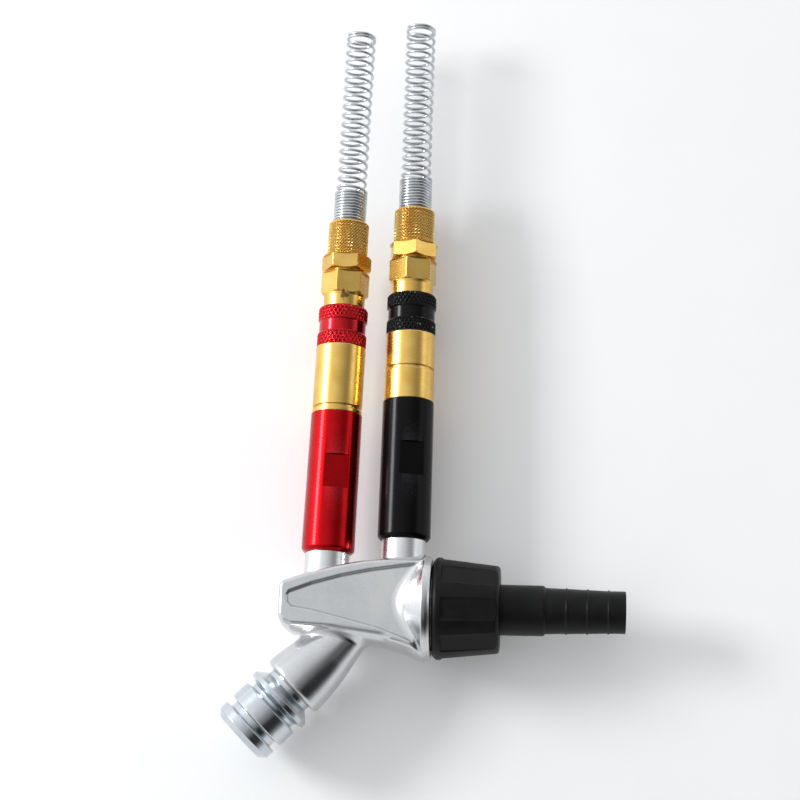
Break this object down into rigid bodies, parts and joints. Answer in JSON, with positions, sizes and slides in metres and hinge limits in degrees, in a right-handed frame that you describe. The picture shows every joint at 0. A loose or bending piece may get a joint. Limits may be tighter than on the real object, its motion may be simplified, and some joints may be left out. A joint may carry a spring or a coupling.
{
  "type": "fuel nozzle",
  "caption": "Die-cast nozzle manifold with a slanted grooved spout, a barbed hose tail under a union nut, and red and black supply lines with quick couplers and spring-guarded hose nuts.",
  "frame": {"origin": "on the hose tail's axis, at the middle of the plain land at its open end", "axes": "+X along the hose tail towards its open end, +Y along the supply lines away from the casting, +Z normal to the casting's flat faces"},
  "size_m": [0.184, 0.3578, 0.0488],
  "materials": {
    "plated_casting": "satin",
    "zinc_plated_steel": "satin",
    "satin_aluminium": "satin",
    "red_anodised": "satin",
    "black_anodised": "satin",
    "satin_brass": "satin",
    "spring_steel": "polished",
    "bearing_steel": "polished",
    "black_plastic": "matte",
    "black_rubber": "matte"
  },
  "bodies": {
    "manifold": {"manifold_body": "plated_casting", "spout_nose": "zinc_plated_steel", "nose_seal": "black_rubber", "tail_seal": "black_rubber", "red_stub": "satin_aluminium", "red_valve_housing": "red_anodised", "red_check_guide": "satin_brass", "red_check_spring": "spring_steel", "red_check_seat": "satin_brass", "red_adapter": "satin_brass", "red_coupler_socket": "satin_brass", "red_socket_seal": "black_rubber", "red_locking_balls": "bearing_steel", "red_sleeve_spring": "spring_steel", "red_retaining_ring": "spring_steel", "black_stub": "satin_aluminium", "black_valve_housing": "black_anodised", "black_check_guide": "satin_brass", "black_check_spring": "spring_steel", "black_check_seat": "satin_brass", "black_adapter": "satin_brass", "black_coupler_socket": "satin_brass", "black_socket_seal": "black_rubber", "black_locking_balls": "bearing_steel", "black_sleeve_spring": "spring_steel", "black_retaining_ring": "spring_steel"},
    "tail": {"hose_tail": "black_plastic"},
    "union_nut": {"union_nut": "black_plastic"},
    "red_sleeve": {"red_locking_sleeve": "red_anodised"},
    "red_poppet": {"red_check_poppet": "satin_brass", "red_check_seal": "black_rubber"},
    "red_plug": {"red_coupler_plug": "satin_brass"},
    "red_guard": {"red_spring_guard": "spring_steel"},
    "red_nut": {"red_hose_nut": "satin_brass"},
    "black_sleeve": {"black_locking_sleeve": "black_anodised"},
    "black_poppet": {"black_check_poppet": "satin_brass", "black_check_seal": "black_rubber"},
    "black_plug": {"black_coupler_plug": "satin_brass"},
    "black_guard": {"black_spring_guard": "spring_steel"},
    "black_nut": {"black_hose_nut": "satin_brass"}
  },
  "joints": [
    {"name": "tail_draw", "type": "slide", "parent": "manifold", "child": "tail", "axis": [1, 0, 0], "range_m": [0, 0.012]},
    {"name": "union_nut_turn", "type": "hinge", "parent": "tail", "child": "union_nut", "pos_m": [0, 0, 0], "axis": [1, 0, 0], "range_deg": [0, 2160]},
    {"name": "red_sleeve_push", "type": "slide", "parent": "manifold", "child": "red_sleeve", "axis": [0.0232, 0.9997, 0], "range_m": [0, 0.003], "stiffness_N_per_m": 800, "springref_m": -0.002, "deforming": ["red_sleeve_spring"]},
    {"name": "red_check_lift", "type": "slide", "parent": "manifold", "child": "red_poppet", "axis": [-0.0232, -0.9997, 0], "range_m": [0, 0.003], "stiffness_N_per_m": 300, "springref_m": -0.002, "deforming": ["red_check_spring"]},
    {"name": "red_plug_pull", "type": "slide", "parent": "manifold", "child": "red_plug", "axis": [0.0232, 0.9997, 0], "range_m": [0, 0.035], "deforming": ["red_locking_balls"]},
    {"name": "red_guard_draw", "type": "slide", "parent": "red_plug", "child": "red_guard", "axis": [0.0232, 0.9997, 0], "range_m": [0, 0.008]},
    {"name": "red_hose_nut_turn", "type": "hinge", "parent": "red_guard", "child": "red_nut", "pos_m": [-0.13124, 0.17075, 0], "axis": [0.0232, 0.9997, 0], "range_deg": [0, 2880]},
    {"name": "black_sleeve_push", "type": "slide", "parent": "manifold", "child": "black_sleeve", "axis": [0, 1, 0], "range_m": [0, 0.003], "stiffness_N_per_m": 800, "springref_m": -0.002, "deforming": ["black_sleeve_spring"]},
    {"name": "black_check_lift", "type": "slide", "parent": "manifold", "child": "black_poppet", "axis": [0, -1, 0], "range_m": [0, 0.003], "stiffness_N_per_m": 300, "springref_m": -0.002, "deforming": ["black_check_spring"]},
    {"name": "black_plug_pull", "type": "slide", "parent": "manifold", "child": "black_plug", "axis": [0, 1, 0], "range_m": [0, 0.035], "deforming": ["black_locking_balls"]},
    {"name": "black_guard_draw", "type": "slide", "parent": "black_plug", "child": "black_guard", "axis": [0, 1, 0], "range_m": [0, 0.008]},
    {"name": "black_hose_nut_turn", "type": "hinge", "parent": "black_guard", "child": "black_nut", "pos_m": [-0.0994, 0.1775, 0], "axis": [0, 1, 0], "range_deg": [0, 2880]}
  ],
  "couplings": [
    {"joint": "tail_draw", "follows": "union_nut_turn", "m_per_rad": 0.00031831},
    {"joint": "red_guard_draw", "follows": "red_hose_nut_turn", "m_per_rad": 0.00015915},
    {"joint": "black_guard_draw", "follows": "black_hose_nut_turn", "m_per_rad": 0.00015915}
  ]
}
